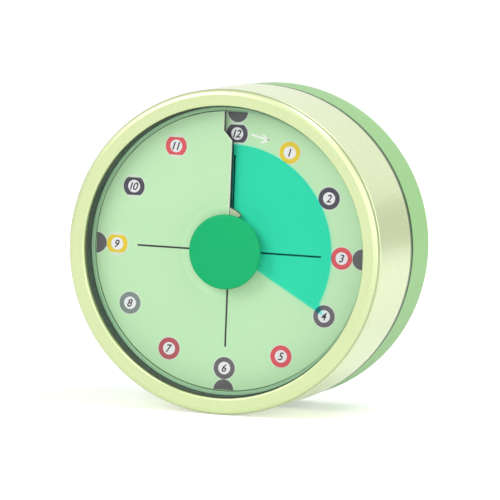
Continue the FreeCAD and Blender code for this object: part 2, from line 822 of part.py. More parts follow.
save("front_ring", make_front_ring())
save("lens_gasket", make_lens_gasket())
save("lens", make_lens())
save("dial_plate", make_dial_plate())
save("time_disc", make_time_disc())
save("disc_hub", make_disc_hub())
save("main_shaft", make_main_shaft())
save("knob", make_knob())
save("front_plate", make_front_plate())
save("train_plate", make_train_plate())
save("centre_wheel", make_centre_wheel())
save("clutch_spring", make_clutch_spring())
save("third_wheel", wheel_and_pinion(third_axis, third_level, 0, centre_level - level_gap, third_pinion_phase))
save("second_wheel", wheel_and_pinion(second_axis, second_level, 0, third_level - level_gap, second_pinion_phase))
save("motor_rotor", make_rotor())
save("motor_stator", make_stator())
save("motor_coil", make_coil())
save("rear_case", make_rear_case())
save("battery_door", make_battery_door())
save("battery", make_battery())
save("contact_positive", make_contact_positive())
save("contact_negative", make_contact_negative())
save("circuit_board", make_circuit_board())
save("buzzer", make_buzzer())
save("switch_body", make_switch_body())
save("volume_slider", make_volume_slider())
save("magnets", make_magnets())
save("case_screws", make_case_screws())
save("ring_screws", make_ring_screws())
save("train_screws", make_train_screws())
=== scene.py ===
import json
import math

import bmesh
import bpy
from bpy.props import FloatProperty, FloatVectorProperty, IntProperty, PointerProperty
from mathutils import Matrix, Vector


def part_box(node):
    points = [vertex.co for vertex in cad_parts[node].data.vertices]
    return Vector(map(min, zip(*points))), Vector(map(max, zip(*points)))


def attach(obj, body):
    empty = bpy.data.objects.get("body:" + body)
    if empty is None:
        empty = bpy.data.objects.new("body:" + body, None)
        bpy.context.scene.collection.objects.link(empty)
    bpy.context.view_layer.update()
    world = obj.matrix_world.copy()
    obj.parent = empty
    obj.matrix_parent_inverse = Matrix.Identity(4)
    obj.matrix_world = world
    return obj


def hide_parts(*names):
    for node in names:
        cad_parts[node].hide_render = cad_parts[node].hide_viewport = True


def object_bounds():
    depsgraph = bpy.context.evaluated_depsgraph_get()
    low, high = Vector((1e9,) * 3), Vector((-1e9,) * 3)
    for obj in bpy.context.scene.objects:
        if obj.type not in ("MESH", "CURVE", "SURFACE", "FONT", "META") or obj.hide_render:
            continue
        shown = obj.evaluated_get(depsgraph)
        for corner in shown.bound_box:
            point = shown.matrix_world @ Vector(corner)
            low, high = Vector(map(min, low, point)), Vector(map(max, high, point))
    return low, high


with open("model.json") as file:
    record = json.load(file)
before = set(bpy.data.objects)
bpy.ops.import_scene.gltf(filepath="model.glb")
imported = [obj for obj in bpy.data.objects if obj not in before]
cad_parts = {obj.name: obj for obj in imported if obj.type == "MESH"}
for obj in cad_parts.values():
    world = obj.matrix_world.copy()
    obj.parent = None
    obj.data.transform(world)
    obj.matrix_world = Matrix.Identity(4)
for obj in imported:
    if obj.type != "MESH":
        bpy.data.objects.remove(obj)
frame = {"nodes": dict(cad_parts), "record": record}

bl_info = {
    "name": "Visual countdown timer",
    "version": (1, 0, 0),
    "blender": (4, 5, 0),
    "location": "3D View > Sidebar > Timer",
    "description": "Dresses a round countdown timer with its printed dial, film disc, finishes and stage",
    "category": "Object",
}

MM = 0.001
CAD_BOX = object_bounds()
RING_LOW, RING_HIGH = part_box("front_ring")
DIAL_LOW, DIAL_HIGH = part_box("dial_plate")
KNOB_LOW, KNOB_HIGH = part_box("knob")
GASKET_LOW, GASKET_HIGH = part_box("lens_gasket")

# All in millimetres; a height is the distance in front of the back face
DIAL_TOP = -DIAL_LOW.y / MM
DIAL_RADIUS = DIAL_HIGH.x / MM
FRONT_PLANE = -RING_LOW.y / MM
RING_BACK = -RING_HIGH.y / MM
# Painted shade on the pearl lacquer: where and how wide the dark band runs along the edge of the front round
TRIM_SHADE_FROM_FRONT = 0.95
TRIM_SHADE_HALF = 0.4
# Half width of the dark band on the ring's rear edge, painted shadow of the seam
SEAM_SHADE = 1.1
SEAM_WIDTH = 1.3
SEAM_DEPTH = 1.2
SEAM_INSET = 0.06
SEAM_GAP = 0.03
DISC_RADIUS = 26.3
DIAL_HOLE = 6.7
SHEET = 0.6
SLIT_END = 7.0
SLIT_JOG = 2.2
SLIT_JOG_RADIUS = DISC_RADIUS + 0.9
SLIT_JOG_SLOPE = 2.4
LANDING_UNDERLAP = 0.8
CUT_EDGE_HEIGHT = 0.55
INK_STEP = 0.02
BADGE_EDGE = 0.28
MARK_EDGE = 0.25
MARK_INSET = 0.15
TWELVE_SHIFT = 0.7
LINE_UNDER_KNOB = 2.2
LINE_TWELVE_SHIFT = 0.35
ARROW_SHAFT = 0.5
ARROW_BARB = 0.38
TONGUE_SHADOW_LINE = 0.2
KNOB_INSET = 0.1
SLEEVE_WALL = 0.3
LEDGE_THICKNESS = 0.4
LEDGE_BELOW_DIAL = 0.1
LINING_CHAMFER = 0.08
LINING_GAP = 0.02
AXIS = 0.0001
WELD = 0.001

# Where the dial's even sheet ends, in degrees clockwise from twelve
LEAF_START = 350.0

# Shares and strengths, which have no unit
STRIPE_TRIM = 0.80
KNOB_STEM = 0.52
FIGURE_SLANT = 0.28
FIGURE_SPACING = 0.82
FIGURE_WEIGHT = 0.012
FIGURE_NARROW = 0.95
FILM_BODY = 0.012
WINDOW_BODY = 0.02
FLOOR_LIFT = 0.42
WORLD_STRENGTH = 0.45

# Divisions of a full turn and of the dial's sheet, and the dark green of the painted seam shadow, which two
# finishes share
ROUND_STEPS = 192
DIAL_STEPS = 175
SEAM_SHADOW_GREEN = (44, 76, 28)


def srgb(red, green, blue):
    """A linear colour from the eight-bit values a designer would name."""
    def linear(value):
        share = value / 255
        return share / 12.92 if share <= 0.04045 else ((share + 0.055) / 1.055) ** 2.4
    return (linear(red), linear(green), linear(blue))


def colour_property(name, description, default):
    return FloatVectorProperty(name=name, description=description, default=default,
                               subtype="COLOR", size=3, min=0.0, max=1.0)


def length_property(name, description, default, low, high):
    return FloatProperty(name=name, description=f"{description}, in millimetres",
                         default=default, min=low, max=high)


class TimerColours(bpy.types.PropertyGroup):
    pearl: colour_property("Pearl ring", "Lacquer of the front ring", srgb(206, 219, 166))
    case: colour_property("Rear case", "Moulded rear case", srgb(148, 197, 131))
    dial: colour_property("Dial", "Printed dial sheet", srgb(200, 240, 194))
    knob: colour_property("Knob", "Moulded knob", srgb(2, 178, 110))
    film: colour_property("Film", "Tint that the film lets through", (0.53, 1.0, 0.998))
    ink: colour_property("Ink", "Dark ink of lines and figures", srgb(52, 50, 58))
    paper: colour_property("White ink", "White ground of the figures", srgb(246, 244, 250))
    gasket: colour_property("Gasket", "Dark ring between ring and lens", srgb(74, 84, 80))
    yellow: colour_property("Yellow", "Badges one and nine", srgb(240, 212, 66))
    slate: colour_property("Slate", "Badges two and ten", srgb(82, 79, 93))
    red: colour_property("Red", "Badges three, five and eleven", srgb(232, 92, 102))
    grey: colour_property("Grey", "Badges four and six", srgb(112, 108, 114))
    maroon: colour_property("Maroon", "Badge seven", srgb(192, 92, 104))
    sage: colour_property("Sage", "Badge eight", srgb(132, 146, 142))
    mark: colour_property("Rim marks", "Half-round marks at the quarters", srgb(104, 104, 106))


class TimerDial(bpy.types.PropertyGroup):
    badge_ring: length_property("Badge circle", "Radius of the circle of badges", 28.9, 20.0, 32.0)
    badge_radius: length_property("Badge", "Radius of a badge", 2.72, 1.0, 4.0)
    ground_radius: length_property("White ground", "Radius of a badge's white ground", 1.55, 0.5, 3.0)
    line_reach: length_property("Line reach", "Outer end of the cross lines", 23.6, 10.0, 30.0)
    line_width: length_property("Line width", "Width of the cross lines", 0.44, 0.1, 1.0)
    mark_radius: length_property("Rim mark", "Radius of the half-round marks", 2.55, 1.0, 4.0)
    figure_height: length_property("Figure height", "Height of a figure", 1.95, 0.5, 4.0)


class TimerCamera(bpy.types.PropertyGroup):
    azimuth: FloatProperty(name="Azimuth", description="Camera's place to the right of the dial's axis",
                           default=math.radians(18.0), subtype="ANGLE")
    elevation: FloatProperty(name="Elevation", description="Camera's place above the dial's axis",
                             default=math.radians(5.0), subtype="ANGLE")
    roll: FloatProperty(name="Roll", description="Turn of the camera about its own axis",
                        default=math.radians(2.3), subtype="ANGLE")
    distance: FloatProperty(name="Distance", description="From the camera to the front of the timer",
                            default=1.583, unit="LENGTH")
    focal_pixels: FloatProperty(name="Focal length", description="Focal length in pixels of the picture",
                                default=6471.0)
    picture: IntProperty(name="Picture width", description="Width and height of the picture in pixels",
                         default=500)
    front_x: FloatProperty(name="Front centre, across",
                           description="Pixel column of the front plane's centre", default=222.05)
    front_y: FloatProperty(name="Front centre, down",
                           description="Pixel row of the front plane's centre", default=252.5)


def colours():
    return bpy.context.scene.timer_colours


def dial():
    return bpy.context.scene.timer_dial


# Materials

def new_material(name):
    material = bpy.data.materials.new(name)
    material.use_nodes = True
    tree = material.node_tree
    tree.nodes.clear()
    output = tree.nodes.new("ShaderNodeOutputMaterial")
    shader = tree.nodes.new("ShaderNodeBsdfPrincipled")
    tree.links.new(shader.outputs["BSDF"], output.inputs["Surface"])
    return material, tree, shader, output


def object_noise(tree, scale, detail=3.0, roughness=0.55):
    """Noise on Object coordinates, in metres."""
    coords = tree.nodes.new("ShaderNodeTexCoord")
    noise = tree.nodes.new("ShaderNodeTexNoise")
    noise.inputs["Scale"].default_value = scale
    noise.inputs["Detail"].default_value = detail
    noise.inputs["Roughness"].default_value = roughness
    tree.links.new(coords.outputs["Object"], noise.inputs["Vector"])
    return noise


def shade_between(tree, factor, low, high, colour_a, colour_b):
    ramp = tree.nodes.new("ShaderNodeValToRGB")
    ramp.color_ramp.elements[0].position = low
    ramp.color_ramp.elements[1].position = high
    ramp.color_ramp.elements[0].color = (*colour_a, 1)
    ramp.color_ramp.elements[1].color = (*colour_b, 1)
    tree.links.new(factor, ramp.inputs["Fac"])
    return ramp.outputs["Color"]


def number_between(tree, factor, low, high):
    spread = tree.nodes.new("ShaderNodeMapRange")
    spread.inputs["To Min"].default_value = low
    spread.inputs["To Max"].default_value = high
    tree.links.new(factor, spread.inputs["Value"])
    return spread.outputs["Result"]


def add_bump(tree, shader, height, strength, distance):
    bump = tree.nodes.new("ShaderNodeBump")
    bump.inputs["Strength"].default_value = strength
    bump.inputs["Distance"].default_value = distance
    tree.links.new(height, bump.inputs["Height"])
    tree.links.new(bump.outputs["Normal"], shader.inputs["Normal"])


def darker(colour, share):
    return tuple(channel * share for channel in colour)


def moulded(name, colour, rough_low, rough_high, grain=2600.0, grain_depth=0.00002, spread=0.94, shine=0.5):
    """Moulded or painted plastic: a fine surface grain and a slow drift of tone and gloss."""
    material, tree, shader, _ = new_material(name)
    drift = object_noise(tree, 38.0)
    fine = object_noise(tree, grain, 2.0)
    tone = shade_between(tree, drift.outputs["Fac"], 0.35, 0.65, darker(colour, spread), colour)
    tree.links.new(tone, shader.inputs["Base Color"])
    gloss = number_between(tree, fine.outputs["Fac"], rough_low, rough_high)
    tree.links.new(gloss, shader.inputs["Roughness"])
    shader.inputs["Specular IOR Level"].default_value = shine
    add_bump(tree, shader, fine.outputs["Fac"], 0.35, grain_depth)
    return material, tree, shader


def metal(name, colour, rough_low, rough_high, scale=420.0):
    material, tree, shader, _ = new_material(name)
    brush = object_noise(tree, scale, 4.0)
    tone = shade_between(tree, brush.outputs["Fac"], 0.3, 0.7, darker(colour, 0.82), colour)
    tree.links.new(tone, shader.inputs["Base Color"])
    gloss = number_between(tree, brush.outputs["Fac"], rough_low, rough_high)
    tree.links.new(gloss, shader.inputs["Roughness"])
    shader.inputs["Metallic"].default_value = 1.0
    add_bump(tree, shader, brush.outputs["Fac"], 0.25, 0.00001)
    return material


def band_along_y(tree, middle, half_width):
    """One inside a band of depths, in metres on Object Y, and nothing outside it."""
    coords = tree.nodes.new("ShaderNodeTexCoord")
    parts = tree.nodes.new("ShaderNodeSeparateXYZ")
    tree.links.new(coords.outputs["Object"], parts.inputs["Vector"])
    inside = tree.nodes.new("ShaderNodeMath")
    inside.operation = "COMPARE"
    inside.inputs[1].default_value = middle
    inside.inputs[2].default_value = half_width
    tree.links.new(parts.outputs["Y"], inside.inputs[0])
    return inside.outputs["Value"]


def pearl_lacquer():
    """Satin pearl lacquer under a clear coat, with painted shade: a dark band where the front round meets the
    side, and a dark band at the ring's rear edge painted as the seam's shadow.
    """
    pearl = tuple(colours().pearl)
    material, tree, shader = moulded("pearl_lacquer", pearl, 0.24, 0.34, 3800.0, 0.000004, 0.97)
    tone = shader.inputs["Base Color"].links[0].from_socket
    # Both bands are painted shade: the first darkens where the front round meets the side, the second paints
    # the seam's shadow on the ring's rear edge
    for middle, half, dark in ((FRONT_PLANE - TRIM_SHADE_FROM_FRONT, TRIM_SHADE_HALF, darker(pearl, 0.62)),
                               (RING_BACK, SEAM_SHADE, srgb(*SEAM_SHADOW_GREEN))):
        shade = tree.nodes.new("ShaderNodeMix")
        shade.data_type = "RGBA"
        shade.inputs["B"].default_value = (*dark, 1)
        tree.links.new(band_along_y(tree, -middle * MM, half * MM), shade.inputs["Factor"])
        tree.links.new(tone, shade.inputs["A"])
        tone = shade.outputs["Result"]
    tree.links.new(tone, shader.inputs["Base Color"])
    shader.inputs["Metallic"].default_value = 0.5
    shader.inputs["Coat Weight"].default_value = 0.32
    shader.inputs["Coat Roughness"].default_value = 0.07
    return material


def see_through(tree, shader, output, tint, body):
    """Let a tint show through; the shader's own surface keeps only the share that body gives."""
    clear = tree.nodes.new("ShaderNodeBsdfTransparent")
    clear.inputs["Color"].default_value = (*tint, 1)
    mix = tree.nodes.new("ShaderNodeMixShader")
    mix.inputs["Fac"].default_value = body
    tree.links.new(clear.outputs["BSDF"], mix.inputs[1])
    tree.links.new(shader.outputs["BSDF"], mix.inputs[2])
    tree.links.new(mix.outputs["Shader"], output.inputs["Surface"])


def film_tint():
    """Clear teal film: a tint to see through, with a thin gloss and a little body colour."""
    material, tree, shader, output = new_material("film_tint")
    drift = object_noise(tree, 60.0)
    body = shade_between(tree, drift.outputs["Fac"], 0.3, 0.7, srgb(20, 236, 190), srgb(30, 240, 196))
    tree.links.new(body, shader.inputs["Base Color"])
    shader.inputs["Roughness"].default_value = 0.18
    shader.inputs["Specular IOR Level"].default_value = 0.45
    see_through(tree, shader, output, tuple(colours().film), FILM_BODY)
    return material


def clear_window():
    """The clear moulded window: nearly all see-through, with a polished face."""
    material, tree, shader, output = new_material("clear_window")
    drift = object_noise(tree, 25.0)
    tree.links.new(number_between(tree, drift.outputs["Fac"], 0.03, 0.06), shader.inputs["Roughness"])
    shader.inputs["Base Color"].default_value = (0.02, 0.02, 0.02, 1)
    shader.inputs["Specular IOR Level"].default_value = 0.5
    see_through(tree, shader, output, (0.998, 1.0, 0.998), WINDOW_BODY)
    return material


def printed(name, colour):
    """Ink on the dial: matt, with a slight unevenness."""
    return moulded(name, colour, 0.45, 0.6, 1800.0, 0.000004, 0.93, 0.3)[0]


def give(node, material):
    """Put a finish on a piece that came with the frame."""
    mesh = frame["nodes"][node].data
    mesh.materials.clear()
    mesh.materials.append(material)


# Shapes on the dial

def ramp_height(x, z, top, on_landing=False):
    """The ramp's height in front of the back face at a place on the dial, all in millimetres.

    on_landing is for what stands on the flat landing at twelve, under the raised leaf's level.
    """
    low = top - RISE
    clockwise = math.degrees(math.atan2(x, z)) % 360.0
    if on_landing and clockwise > 180.0:
        clockwise = 0.0
    return low + RISE * clockwise / 360.0


def dial_rise():
    """How far the dial climbs in a turn, read from the disc's slide and the knob's turn."""
    for coupling in frame["record"]["behaviour"]["couplings"]:
        if coupling["joint"] == "disc_lift":
            return coupling["ratio"] * 2 * math.pi / MM
    raise RuntimeError("the record has no coupling for the disc's lift")


RISE = dial_rise()


def mesh_object(name, bm, material):
    bmesh.ops.recalc_face_normals(bm, faces=bm.faces)
    mesh = bpy.data.meshes.new(name)
    bm.to_mesh(mesh)
    bm.free()
    mesh.materials.append(material)
    piece = bpy.data.objects.new(name, mesh)
    bpy.context.scene.collection.objects.link(piece)
    return piece


def to_metres(bm):
    bmesh.ops.scale(bm, vec=(MM, MM, MM), verts=bm.verts)


def lay_on_dial(bm, lift, thickness, on_landing=False):
    """Give a flat shape, drawn as (x, 0, z) in millimetres, its thickness and lay it on the ramp."""
    bmesh.ops.recalc_face_normals(bm, faces=bm.faces)
    if sum(face.normal.y for face in bm.faces) > 0:
        bmesh.ops.reverse_faces(bm, faces=bm.faces)
    made = bmesh.ops.extrude_face_region(bm, geom=list(bm.faces), use_keep_orig=True)
    raised = {item for item in made["geom"] if isinstance(item, bmesh.types.BMVert)}
    for vert in bm.verts:
        height = ramp_height(vert.co.x, vert.co.z, DIAL_TOP, on_landing) + lift
        if vert in raised:
            height += thickness
        vert.co.y = -height
    to_metres(bm)


def clock_spot(hour, radius):
    angle = math.radians(90 - 30 * hour)
    return Vector((radius * math.cos(angle), 0, radius * math.sin(angle)))


def print_spot(hour, radius):
    """Where a badge or mark is printed: the one at twelve keeps clear of the slit's step."""
    return clock_spot(hour, radius) + (Vector((TWELVE_SHIFT, 0, 0)) if hour == 12 else Vector())


def flat_disc(bm, centre, radius, segments=48, hole=None):
    """A disc, or a ring, facing the user."""
    turn = Matrix.Translation(centre) @ Matrix.Rotation(math.radians(90), 4, "X")
    verts = []
    for rim in (radius,) if hole is None else (radius, hole):
        verts += bmesh.ops.create_circle(bm, cap_ends=hole is None, radius=rim, segments=segments,
                                         matrix=turn)["verts"]
    if hole is not None:
        bmesh.ops.bridge_loops(bm, edges=list({edge for vert in verts for edge in vert.link_edges}))


def clip(bm, point, normal):
    bmesh.ops.bisect_plane(bm, geom=list(bm.verts) + list(bm.edges) + list(bm.faces), dist=1e-6,
                           plane_co=point, plane_no=normal, clear_outer=True)


def ride_dial(piece):
    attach(piece, "case")
    return piece


def badge_colour(hour):
    palette = colours()
    order = (palette.yellow, palette.slate, palette.red, palette.grey, palette.red, palette.grey,
             palette.maroon, palette.sage, palette.yellow, palette.slate, palette.red, palette.slate)
    return tuple(order[hour - 1])


def make_badge(hour, inks):
    """One hour badge: a pale edge, a coloured ring, cut flat from nine on, and a white ground."""
    sizes = dial()
    centre = print_spot(hour, sizes.badge_ring)
    striped = hour >= 9
    trim = sizes.badge_radius * STRIPE_TRIM
    pale = bmesh.new()
    flat_disc(pale, centre, sizes.badge_radius + BADGE_EDGE)
    landing = hour == 12
    lay_on_dial(pale, 0.0, INK_STEP, landing)
    ride_dial(mesh_object(f"badge_edge_{hour:02d}", pale, inks["pale"]))
    band = bmesh.new()
    flat_disc(band, centre, sizes.badge_radius, hole=sizes.ground_radius)
    if striped:
        clip(band, centre + Vector((0, 0, trim)), Vector((0, 0, 1)))
        clip(band, centre - Vector((0, 0, trim)), Vector((0, 0, -1)))
    lay_on_dial(band, INK_STEP, INK_STEP, landing)
    ride_dial(mesh_object(f"badge_band_{hour:02d}", band, inks[hour]))
    ground = bmesh.new()
    flat_disc(ground, centre, sizes.ground_radius + 0.02, 40)
    lay_on_dial(ground, INK_STEP, INK_STEP, landing)
    ride_dial(mesh_object(f"badge_ground_{hour:02d}", ground, inks["white"]))


def make_figure(hour, inks):
    """The hour's number, thin and slanted, made a mesh before it is placed."""
    sizes = dial()
    text = bpy.data.curves.new(f"figure_{hour:02d}", "FONT")
    text.body = str(hour)
    text.size = 1.0
    text.shear = FIGURE_SLANT
    text.align_x = "CENTER"
    text.align_y = "CENTER"
    text.space_character = FIGURE_SPACING
    text.offset = FIGURE_WEIGHT
    text.resolution_u = 4
    holder = bpy.data.objects.new(f"figure_text_{hour:02d}", text)
    bpy.context.scene.collection.objects.link(holder)
    bpy.context.view_layer.update()
    flat = bpy.data.meshes.new_from_object(holder)
    bpy.data.objects.remove(holder)
    bpy.data.curves.remove(text)
    bm = bmesh.new()
    bm.from_mesh(flat)
    bpy.data.meshes.remove(flat)
    xs = [vert.co.x for vert in bm.verts]
    ys = [vert.co.y for vert in bm.verts]
    middle = Vector(((min(xs) + max(xs)) / 2, (min(ys) + max(ys)) / 2, 0))
    bmesh.ops.translate(bm, vec=-middle, verts=bm.verts)
    grow = sizes.figure_height / (max(ys) - min(ys))
    narrow = 1.0 if hour > 9 else FIGURE_NARROW
    bmesh.ops.scale(bm, vec=(grow * narrow, grow, 1), verts=bm.verts)
    place = Matrix.Translation(print_spot(hour, sizes.badge_ring))
    bmesh.ops.transform(bm, matrix=place @ Matrix.Rotation(math.radians(90), 4, "X"), verts=bm.verts)
    bmesh.ops.remove_doubles(bm, verts=bm.verts, dist=1e-4)
    lay_on_dial(bm, 2 * INK_STEP, INK_STEP, hour == 12)
    ride_dial(mesh_object(f"figure_{hour:02d}", bm, inks["ink"]))


def strip(bm, start, end, width, cuts=12):
    """A straight strip on the dial, divided so that it can follow the ramp."""
    along = end - start
    side = Vector((along.z, 0, -along.x)).normalized() * width / 2
    corners = [bm.verts.new(spot) for spot in (start - side, end - side, end + side, start + side)]
    face = bm.faces.new(corners)
    long_edges = [edge for edge in face.edges if edge.calc_length() > along.length * 0.9]
    bmesh.ops.subdivide_edges(bm, edges=long_edges, cuts=cuts, use_grid_fill=True)


def make_cross_lines(inks):
    sizes = dial()
    inner = KNOB_HIGH.x / MM - LINE_UNDER_KNOB
    for hour, name in ((3, "line_three"), (6, "line_six"), (9, "line_nine"), (12, "line_twelve")):
        bm = bmesh.new()
        shift = Vector((LINE_TWELVE_SHIFT, 0, 0)) if hour == 12 else Vector()
        ends = [clock_spot(hour, reach) + shift for reach in (inner, sizes.line_reach)]
        strip(bm, *ends, sizes.line_width)
        lay_on_dial(bm, 0.0, INK_STEP)
        ride_dial(mesh_object(name, bm, inks["ink"]))


def make_rim_marks(inks):
    sizes = dial()
    edge = DIAL_RADIUS - MARK_INSET
    for hour in (3, 6, 9, 12):
        centre = print_spot(hour, edge)
        for name, radius, lift, ink in (("rim_mark_edge", sizes.mark_radius + MARK_EDGE, 0.0, "pale"),
                                        ("rim_mark", sizes.mark_radius, INK_STEP, "mark")):
            bm = bmesh.new()
            flat_disc(bm, centre, radius, 64)
            clip(bm, clock_spot(hour, edge - 0.02), clock_spot(hour, 1.0))
            if hour == 12:
                clip(bm, Vector((-SLIT_JOG + 0.1, 0, 0)), Vector((-1, 0, 0)))
            lay_on_dial(bm, lift, INK_STEP, hour == 12)
            ride_dial(mesh_object(f"{name}_{hour:02d}", bm, inks[ink]))


def leaf_prism(bm, outline, top, thickness):
    """A flat piece of sheet with one outline of (x, z) points, at one height or along the ramp."""
    lower = []
    upper = []
    for x, z in outline:
        height = ramp_height(x - 1e-6, z, DIAL_TOP) if top is None else top
        upper.append(bm.verts.new((x, -height, z)))
        lower.append(bm.verts.new((x, -height + thickness, z)))
    bm.faces.new(upper)
    bm.faces.new(lower)
    for index in range(len(outline)):
        other = (index + 1) % len(outline)
        bm.faces.new((upper[index], upper[other], lower[other], lower[index]))


def arc(radius, start, end, steps):
    """Points (x, z) along a circle, between angles clockwise from twelve, in degrees."""
    spots = []
    for step in range(steps + 1):
        angle = math.radians(start + (end - start) * step / steps)
        spots.append((radius * math.sin(angle), radius * math.cos(angle)))
    return spots


def make_dial_skin(finish, tongue_shade_finish):
    """The dial as one smooth climbing sheet, with the stepped slit, its landing and the tongue, whose darker
    beige is the dial's green in painted shade.
    """
    low = DIAL_TOP - RISE
    bm = bmesh.new()
    radii = [DIAL_HOLE, 14.0, 20.0, 27.0, DIAL_RADIUS]
    grid = []
    for step in range(DIAL_STEPS + 1):
        angle = LEAF_START * step / DIAL_STEPS
        height = low + RISE * angle / 360.0
        turn = math.radians(angle)
        spots = [(radius * math.sin(turn), radius * math.cos(turn)) for radius in radii]
        grid.append([(bm.verts.new((x, -height, z)), bm.verts.new((x, SHEET - height, z)))
                     for x, z in spots])
    for first, second in zip(grid, grid[1:]):
        for index in range(len(radii) - 1):
            for side in (0, 1):
                bm.faces.new((first[index][side], first[index + 1][side],
                              second[index + 1][side], second[index][side]))
        for index in (0, -1):
            bm.faces.new((first[index][0], second[index][0], second[index][1], first[index][1]))
    for row in (grid[0], grid[-1]):
        for index in range(len(radii) - 1):
            bm.faces.new((row[index][0], row[index + 1][0], row[index + 1][1], row[index][1]))
    edge = math.degrees(math.asin(SLIT_JOG / DIAL_RADIUS))
    last_leaf = arc(DIAL_RADIUS, LEAF_START, 360 - edge, 4)
    last_leaf += [(-SLIT_JOG, SLIT_JOG_RADIUS + SLIT_JOG_SLOPE), (0.0, SLIT_JOG_RADIUS)]
    last_leaf += arc(DIAL_HOLE, 360, LEAF_START, 4)
    leaf_prism(bm, last_leaf, None, SHEET)
    landing_end = SLIT_JOG_RADIUS - 1.0
    landing = [(-SLIT_JOG - LANDING_UNDERLAP, landing_end), (0.0, landing_end)]
    landing += arc(DIAL_RADIUS, 0, -edge - 1.4, 4)
    leaf_prism(bm, landing, low, SHEET)
    to_metres(bm)
    piece = mesh_object("dial_skin", bm, finish)
    smooth(piece, 20)
    ride_dial(piece)
    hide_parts("dial_plate")
    tip = bmesh.new()
    outline = [(-0.02, 10.9), (0.5, 10.65), (1.7, 10.1), (2.75, 9.4),
               (3.0, 9.0), (2.75, 8.65), (1.1, 8.1), (-0.02, 7.8)]
    leaf_prism(tip, outline, DIAL_TOP, SHEET)
    to_metres(tip)
    ride_dial(mesh_object("dial_tongue", tip, tongue_shade_finish))
    return outline


def make_outline(name, outline, width, top, finish):
    """A thin line drawn along the edge of a flat piece; round the tongue it is painted shadow of its edge."""
    bm = bmesh.new()
    for start, end in zip(outline, outline[1:]):
        strip(bm, Vector((start[0], 0, start[1])), Vector((end[0], 0, end[1])), width, 1)
    bmesh.ops.recalc_face_normals(bm, faces=bm.faces)
    made = bmesh.ops.extrude_face_region(bm, geom=list(bm.faces), use_keep_orig=True)
    raised = {item for item in made["geom"] if isinstance(item, bmesh.types.BMVert)}
    for vert in bm.verts:
        vert.co.y = -(top + (INK_STEP if vert in raised else 0.0))
    to_metres(bm)
    ride_dial(mesh_object(name, bm, finish))


def make_slit_edge(inks):
    """The raised leaf's cut edge at the slit: a pale line on top of it, the sheet's white cut edge with a
    painted highlight, and a dark line down its side, painted shadow of the gap under the leaf.
    """
    path = [Vector((x, 0, z)) for x, z in ((-SLIT_JOG, DIAL_RADIUS - 0.12),
                                           (-SLIT_JOG, SLIT_JOG_RADIUS + SLIT_JOG_SLOPE),
                                           (0, SLIT_JOG_RADIUS), (0, SLIT_END))]
    # The pale line is the white cut edge with a painted highlight; the dark line is painted shadow of the gap
    # under the leaf
    lines = (("slit_edge_pale", DIAL_TOP, DIAL_TOP + INK_STEP, 0.34, 0.0, "edge"),
             ("slit_edge_shadow", DIAL_TOP - CUT_EDGE_HEIGHT, DIAL_TOP, 0.0, 0.14, "ink"))
    for name, low, high, left, right, ink in lines:
        bm = bmesh.new()
        rows = []
        for index, spot in enumerate(path):
            before = (spot - path[index - 1]).normalized() if index else (path[1] - spot).normalized()
            after = (path[index + 1] - spot).normalized() if index + 1 < len(path) else before
            along = (before + after).normalized()
            side = Vector((-along.z, 0, along.x)) / max(0.5, along.dot(before))
            rows.append([bm.verts.new(Vector((place.x, -height, place.z)))
                         for place, height in ((spot - side * left, low), (spot + side * right, low),
                                               (spot + side * right, high), (spot - side * left, high))])
        for first, second in zip(rows, rows[1:]):
            for corner in range(4):
                other = (corner + 1) % 4
                bm.faces.new((first[corner], first[other], second[other], second[corner]))
        bm.faces.new(rows[0])
        bm.faces.new(rows[-1])
        to_metres(bm)
        ride_dial(mesh_object(name, bm, inks[ink]))


def make_arrow(inks):
    """A white arrow from twelve towards one."""
    tail = Vector((4.4, 0, 28.9))
    head = Vector((9.0, 0, 27.7))
    bm = bmesh.new()
    strip(bm, tail, head, ARROW_SHAFT, 6)
    strip(bm, head + Vector((-1.7, 0, 1.5)), head, ARROW_BARB, 3)
    strip(bm, head + Vector((-2.1, 0, -0.7)), head, ARROW_BARB, 3)
    lay_on_dial(bm, 0.0, INK_STEP)
    ride_dial(mesh_object("dial_arrow", bm, inks["arrow"]))


def turned_piece(name, points, finish, closed=True):
    """A smooth round piece, from the (radius, height) points of its section in millimetres."""
    bm = bmesh.new()
    verts = [bm.verts.new((radius, -height, 0)) for radius, height in points]
    pairs = list(zip(verts, verts[1:]))
    if closed:
        pairs.append((verts[-1], verts[0]))
    edges = [bm.edges.new(pair) for pair in pairs]
    bmesh.ops.spin(bm, geom=verts + edges, cent=(0, 0, 0), axis=(0, 1, 0), dvec=(0, 0, 0),
                   angle=math.tau, steps=ROUND_STEPS, use_merge=True, use_duplicate=False)
    bmesh.ops.remove_doubles(bm, verts=bm.verts, dist=WELD)
    to_metres(bm)
    piece = mesh_object(name, bm, finish)
    smooth(piece)
    return piece


def make_knob_skin(finish):
    """The knob with its smooth shallow crown and rounded edge."""
    radius = KNOB_HIGH.x / MM - KNOB_INSET
    face = -KNOB_LOW.y / MM
    back = -KNOB_HIGH.y / MM
    stem = radius * KNOB_STEM
    profile = [(AXIS, back), (stem, back), (stem, back + 0.3), (radius - 0.62, face - 1.22),
               (radius - 0.12, face - 0.92), (radius, face - 0.7), (radius, face - 0.55),
               (radius - 0.08, face - 0.42), (radius - 0.24, face - 0.31), (radius - 0.5, face - 0.26),
               (radius - 1.4, face - 0.2), (radius * 0.6, face - 0.11), (radius * 0.35, face - 0.03),
               (AXIS, face)]
    piece = turned_piece("knob_skin", profile, finish, closed=False)
    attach(piece, "knob_shaft")
    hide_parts("knob")


